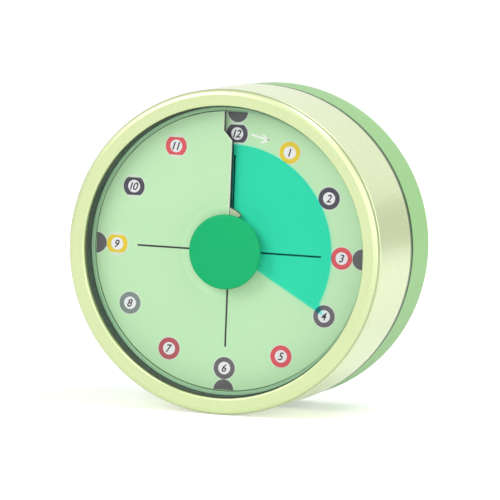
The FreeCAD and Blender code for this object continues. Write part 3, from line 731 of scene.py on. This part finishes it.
def make_bezel_lining(dark, pale):
    """The dark sleeve inside the bezel, and the pale ledge between it and the dial."""
    outer = -GASKET_LOW.x / MM
    back = -GASKET_HIGH.y / MM
    front = -GASKET_LOW.y / MM
    ledge = DIAL_TOP - LEDGE_BELOW_DIAL
    rings = (("bezel_sleeve", dark, "gasket_grey", (outer - SLEEVE_WALL, back), (outer, front),
              "lens_gasket"),
             ("bezel_ledge", pale, "dial_green", (DIAL_RADIUS + 0.2, ledge - LEDGE_THICKNESS),
              (outer - SLEEVE_WALL - LINING_GAP, ledge), None))
    for name, finish, slot, (inner, low), (wide, high), replaced in rings:
        chamfer = LINING_CHAMFER
        piece = turned_piece(name, [(inner, low), (wide, low), (wide, high - chamfer), (wide - chamfer, high),
                                    (inner + chamfer, high), (inner, high - chamfer)], finish)
        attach(piece, "case")
        if replaced:
            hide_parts(replaced)


def make_seam(finish):
    """The dark lining in the seam between the two halves of the case: painted shadow of the gap."""
    outer = RING_HIGH.x / MM - SEAM_INSET
    inner = outer - SEAM_DEPTH
    chamfer = 0.1
    low = RING_BACK - SEAM_WIDTH + SEAM_GAP
    high = RING_BACK - SEAM_GAP
    profile = [(inner, low), (outer - chamfer, low), (outer, low + chamfer),
               (outer, high - chamfer), (outer - chamfer, high), (inner, high)]
    piece = turned_piece("seam_shadow_lining", profile, finish)
    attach(piece, "case")


def smooth(piece, angle=35.0):
    piece.data.polygons.foreach_set("use_smooth", [True] * len(piece.data.polygons))
    piece.data.set_sharp_from_angle(angle=math.radians(angle))


class OBJECT_OT_timer_finishes(bpy.types.Operator):
    """Give every piece of the timer its finish"""
    bl_idname = "object.timer_finishes"
    bl_label = "Finishes"

    def execute(self, context):
        palette = colours()
        pearl = pearl_lacquer()
        case = moulded("case_green", tuple(palette.case), 0.42, 0.58, 2400.0, 0.00003, 0.96)[0]
        dial_sheet = moulded("dial_sheet", tuple(palette.dial), 0.5, 0.62, 1600.0, 0.000004, 0.985, 0.3)[0]
        knob = moulded("knob_moulding", tuple(palette.knob), 0.36, 0.44, 3200.0, 0.000004, 0.97, 0.22)[0]
        gasket = moulded("gasket_moulding", tuple(palette.gasket), 0.55, 0.7, 900.0, 0.00001, 0.9, 0.25)[0]
        white = moulded("white_moulding", srgb(232, 232, 226), 0.4, 0.55)[0]
        black = moulded("black_moulding", srgb(34, 34, 36), 0.45, 0.6)[0]
        board = moulded("board_green", srgb(26, 96, 58), 0.25, 0.4)[0]
        jacket = moulded("cell_jacket", srgb(48, 52, 60), 0.2, 0.32)[0]
        ferrite = moulded("ferrite", srgb(56, 56, 60), 0.5, 0.65)[0]
        steel = metal("steel", (0.62, 0.62, 0.60), 0.28, 0.42)
        nickel = metal("nickel", (0.74, 0.73, 0.70), 0.14, 0.24, 160.0)
        iron = metal("stamped_iron", (0.45, 0.46, 0.48), 0.4, 0.55)
        copper = metal("copper_wire", (0.72, 0.33, 0.15), 0.25, 0.4, 900.0)
        finishes = {
            "front_ring": pearl, "rear_case": case, "battery_door": case, "dial_plate": dial_sheet,
            "time_disc": film_tint(), "lens": clear_window(), "lens_gasket": gasket, "knob": knob,
            "disc_hub": white, "main_shaft": white, "front_plate": white, "train_plate": white,
            "centre_wheel": white, "third_wheel": white, "second_wheel": white, "volume_slider": white,
            "switch_body": black, "buzzer": black, "circuit_board": board, "battery": jacket,
            "motor_rotor": ferrite, "motor_stator": iron, "motor_coil": copper, "clutch_spring": steel,
            "case_screws": steel, "ring_screws": steel, "train_screws": steel, "magnets": nickel,
            "contact_positive": nickel, "contact_negative": nickel,
        }
        for node, finish in finishes.items():
            give(node, finish)
        return {"FINISHED"}


class OBJECT_OT_timer_dial_print(bpy.types.Operator):
    """Print the badges, numbers, cross lines, rim marks and arrow on the dial"""
    bl_idname = "object.timer_dial_print"
    bl_label = "Dial print"

    def execute(self, context):
        palette = colours()
        inks = {
            "ink": printed("dark_ink", tuple(palette.ink)),
            "white": printed("white_ink", tuple(palette.paper)),
            "pale": printed("pale_edge_ink", srgb(222, 240, 220)),
            "arrow": printed("arrow_white_ink", srgb(250, 255, 250)),
            "edge": printed("cut_edge_white_highlight", srgb(226, 238, 216)),
            "mark": printed("rim_mark_ink", tuple(palette.mark)),
        }
        for hour in range(1, 13):
            inks[hour] = printed(f"badge_ink_{hour:02d}", badge_colour(hour))
            make_badge(hour, inks)
            make_figure(hour, inks)
        make_cross_lines(inks)
        make_rim_marks(inks)
        make_slit_edge(inks)
        # The tongue's beige is the dial's green in painted shade
        beige = printed("tongue_shaded_beige", srgb(208, 216, 182))
        tongue = make_dial_skin(bpy.data.materials["dial_sheet"], beige)
        # A dark line round the tongue: painted shadow of its edge on the film
        make_outline("tongue_shadow_line", tongue, TONGUE_SHADOW_LINE, DIAL_TOP, inks["ink"])
        make_arrow(inks)
        return {"FINISHED"}


class OBJECT_OT_timer_bezel(bpy.types.Operator):
    """Line the bezel with its dark sleeve and pale ledge, and the seam with a dark lining painted as the
    gap's shadow
    """
    bl_idname = "object.timer_bezel"
    bl_label = "Bezel lining"

    def execute(self, context):
        ledge = moulded("ledge_green", srgb(172, 220, 176), 0.5, 0.62, 1600.0, 0.000004, 0.97, 0.3)[0]
        make_bezel_lining(bpy.data.materials["gasket_moulding"], ledge)
        # The seam's dark lining is painted shadow of the gap between the case halves
        make_seam(moulded("seam_shadow_green", srgb(*SEAM_SHADOW_GREEN), 0.6, 0.75, 1200.0, 0.00001, 0.9, 0.2)[0])
        return {"FINISHED"}


class OBJECT_OT_timer_knob(bpy.types.Operator):
    """Make the smooth centre knob"""
    bl_idname = "object.timer_knob"
    bl_label = "Knob"

    def execute(self, context):
        make_knob_skin(bpy.data.materials["knob_moulding"])
        return {"FINISHED"}


# Stage

def make_lamp(name, place, target, size, power, colour=(1, 1, 1)):
    lamp = bpy.data.lights.new(name, "AREA")
    lamp.shape = "RECTANGLE"
    lamp.size = size[0]
    lamp.size_y = size[1]
    lamp.energy = power
    lamp.color = colour
    holder = bpy.data.objects.new(name, lamp)
    bpy.context.scene.collection.objects.link(holder)
    aim = (Vector(target) - Vector(place)).normalized()
    turn = aim.to_track_quat("-Z", "Y").to_matrix().to_4x4()
    holder.matrix_world = Matrix.Translation(place) @ turn


def make_world():
    world = bpy.data.worlds.new("studio")
    bpy.context.scene.world = world
    world.use_nodes = True
    tree = world.node_tree
    tree.nodes.clear()
    output = tree.nodes.new("ShaderNodeOutputWorld")
    soft = tree.nodes.new("ShaderNodeBackground")
    soft.inputs["Color"].default_value = (0.93, 0.96, 0.95, 1)
    soft.inputs["Strength"].default_value = WORLD_STRENGTH
    plain = tree.nodes.new("ShaderNodeBackground")
    plain.inputs["Color"].default_value = (1, 1, 1, 1)
    plain.inputs["Strength"].default_value = 1.0
    mix = tree.nodes.new("ShaderNodeMixShader")
    tree.links.new(seen_rays(tree), mix.inputs["Fac"])
    tree.links.new(soft.outputs["Background"], mix.inputs[1])
    tree.links.new(plain.outputs["Background"], mix.inputs[2])
    tree.links.new(mix.outputs["Shader"], output.inputs["Surface"])


def make_camera():
    sizes = bpy.context.scene.timer_camera
    az, el, roll = sizes.azimuth, sizes.elevation, sizes.roll
    back = Vector((math.sin(az) * math.cos(el), -math.cos(az) * math.cos(el), math.sin(el)))
    right = Vector((0, 0, 1)).cross(back).normalized()
    up = back.cross(right)
    turned_right = right * math.cos(roll) + up * math.sin(roll)
    turned_up = up * math.cos(roll) - right * math.sin(roll)
    half = sizes.picture / 2
    metres_per_pixel = sizes.distance / sizes.focal_pixels
    aim = Vector((0, -FRONT_PLANE * MM, 0))
    aim += turned_right * (half - sizes.front_x) * metres_per_pixel
    aim += turned_up * (sizes.front_y - half) * metres_per_pixel
    place = aim + back * sizes.distance
    camera = bpy.data.cameras.new("camera")
    camera.sensor_width = 36.0
    camera.lens = sizes.focal_pixels / sizes.picture * camera.sensor_width
    camera.clip_start = 0.05
    camera.clip_end = 20.0
    holder = bpy.data.objects.new("camera", camera)
    bpy.context.scene.collection.objects.link(holder)
    turn = Matrix((turned_right, turned_up, back)).transposed().to_4x4()
    holder.matrix_world = Matrix.Translation(place) @ turn
    bpy.context.scene.camera = holder


def seen_rays(tree):
    """One on rays from the camera, in reflections and through glass, else nothing."""
    path = tree.nodes.new("ShaderNodeLightPath")
    total = path.outputs["Is Camera Ray"]
    for ray in ("Is Glossy Ray", "Is Transmission Ray"):
        either = tree.nodes.new("ShaderNodeMath")
        either.operation = "MAXIMUM"
        tree.links.new(total, either.inputs[0])
        tree.links.new(path.outputs[ray], either.inputs[1])
        total = either.outputs["Value"]
    return total


def floor_white():
    """White paper that shows as plain white, and still takes the timer's shadow."""
    material, tree, shader, output = new_material("floor_white")
    fibre = object_noise(tree, 900.0)
    paper = shade_between(tree, fibre.outputs["Fac"], 0.3, 0.7, (0.88, 0.88, 0.87), (0.9, 0.9, 0.89))
    tree.links.new(paper, shader.inputs["Base Color"])
    shader.inputs["Roughness"].default_value = 0.85
    shader.inputs["Specular IOR Level"].default_value = 0.1
    glow = tree.nodes.new("ShaderNodeEmission")
    glow.inputs["Color"].default_value = (1, 1, 1, 1)
    lift = tree.nodes.new("ShaderNodeMath")
    lift.operation = "MULTIPLY"
    lift.inputs[1].default_value = FLOOR_LIFT
    tree.links.new(seen_rays(tree), lift.inputs[0])
    tree.links.new(lift.outputs["Value"], glow.inputs["Strength"])
    both = tree.nodes.new("ShaderNodeAddShader")
    tree.links.new(shader.outputs["BSDF"], both.inputs[0])
    tree.links.new(glow.outputs["Emission"], both.inputs[1])
    tree.links.new(both.outputs["Shader"], output.inputs["Surface"])
    return material


def make_floor():
    """A pale floor that sweeps up into a backdrop."""
    ground = CAD_BOX[0][2]
    near, far, sweep, wall, half_width = -2.5, 0.9, 0.6, 3.0, 3.0
    steps = 12
    points = [(near, ground), (far, ground)]
    for step in range(1, steps + 1):
        angle = math.radians(90 * step / steps)
        points.append((far + sweep * math.sin(angle), ground + sweep * (1 - math.cos(angle))))
    points.append((far + sweep, ground + wall))
    bm = bmesh.new()
    verts = [bm.verts.new((-half_width, y, z)) for y, z in points]
    edges = [bm.edges.new(pair) for pair in zip(verts, verts[1:])]
    made = bmesh.ops.extrude_edge_only(bm, edges=edges)
    moved = [item for item in made["geom"] if isinstance(item, bmesh.types.BMVert)]
    bmesh.ops.translate(bm, vec=(2 * half_width, 0, 0), verts=moved)
    floor = mesh_object("floor", bm, floor_white())
    smooth(floor, 60)


def make_card(name, place, size, shade):
    """A studio card behind the timer, for the ring's side to mirror.

    It is outside the picture from the set camera, and can be seen from other sides.
    """
    bm = bmesh.new()
    bmesh.ops.create_grid(bm, x_segments=2, y_segments=2, size=0.5)
    bmesh.ops.scale(bm, vec=(size[0], size[1], 1), verts=bm.verts)
    away = Vector((place[0], place[1], 0)).normalized()
    across = Vector((-away.y, away.x, 0))
    stand = Matrix((across, Vector((0, 0, 1)), -away)).transposed().to_4x4()
    bmesh.ops.transform(bm, matrix=Matrix.Translation(place) @ stand, verts=bm.verts)
    material, tree, shader, _ = new_material(name)
    cloth = object_noise(tree, 300.0)
    grey = (shade, shade, shade)
    tone = shade_between(tree, cloth.outputs["Fac"], 0.3, 0.7, darker(grey, 0.9), grey)
    tree.links.new(tone, shader.inputs["Base Color"])
    shader.inputs["Roughness"].default_value = 0.9
    mesh_object(name, bm, material)


class OBJECT_OT_timer_stage(bpy.types.Operator):
    """Set the floor, the soft lamps, the world and the camera"""
    bl_idname = "object.timer_stage"
    bl_label = "Stage"

    def execute(self, context):
        context.scene.view_settings.view_transform = "Standard"
        make_floor()
        make_world()
        make_card("grey_card", (0.30, 0.80, 0.045), (0.75, 0.17), 0.68)
        make_lamp("key", (-0.75, -1.15, 0.85), (0, 0, 0), (0.9, 0.9), 9.3, (1.0, 0.99, 0.97))
        make_lamp("front", (0.35, -1.6, 0.15), (0, 0, 0), (0.9, 0.9), 4.0)
        make_lamp("side", (1.25, -0.15, 0.35), (0, 0, 0), (0.5, 1.0), 5.6, (0.99, 1.0, 0.95))
        make_lamp("top", (0.45, -0.1, 1.1), (0, 0, 0), (0.7, 0.5), 5.0)
        make_camera()
        return {"FINISHED"}


class VIEW3D_PT_timer(bpy.types.Panel):
    bl_label = "Countdown timer"
    bl_idname = "VIEW3D_PT_timer"
    bl_space_type = "VIEW_3D"
    bl_region_type = "UI"
    bl_category = "Timer"

    def draw(self, context):
        for group in (context.scene.timer_colours, context.scene.timer_dial, context.scene.timer_camera):
            box = self.layout.box()
            for name in group.__annotations__:
                box.prop(group, name)
        for operator in OPERATORS:
            self.layout.operator(operator.bl_idname)


OPERATORS = (OBJECT_OT_timer_finishes, OBJECT_OT_timer_dial_print, OBJECT_OT_timer_bezel,
             OBJECT_OT_timer_knob, OBJECT_OT_timer_stage)
CLASSES = (TimerColours, TimerDial, TimerCamera) + OPERATORS + (VIEW3D_PT_timer,)


def register():
    for item in CLASSES:
        bpy.utils.register_class(item)
    bpy.types.Scene.timer_colours = PointerProperty(type=TimerColours)
    bpy.types.Scene.timer_dial = PointerProperty(type=TimerDial)
    bpy.types.Scene.timer_camera = PointerProperty(type=TimerCamera)


def unregister():
    del bpy.types.Scene.timer_camera
    del bpy.types.Scene.timer_dial
    del bpy.types.Scene.timer_colours
    for item in reversed(CLASSES):
        bpy.utils.unregister_class(item)


def corners(box):
    return [[float(value) for value in corner] for corner in box]


def main():
    register()
    bpy.ops.object.timer_finishes()
    bpy.ops.object.timer_dial_print()
    bpy.ops.object.timer_bezel()
    bpy.ops.object.timer_knob()
    bpy.ops.object.timer_stage()


if __name__ == "__main__":
    main()
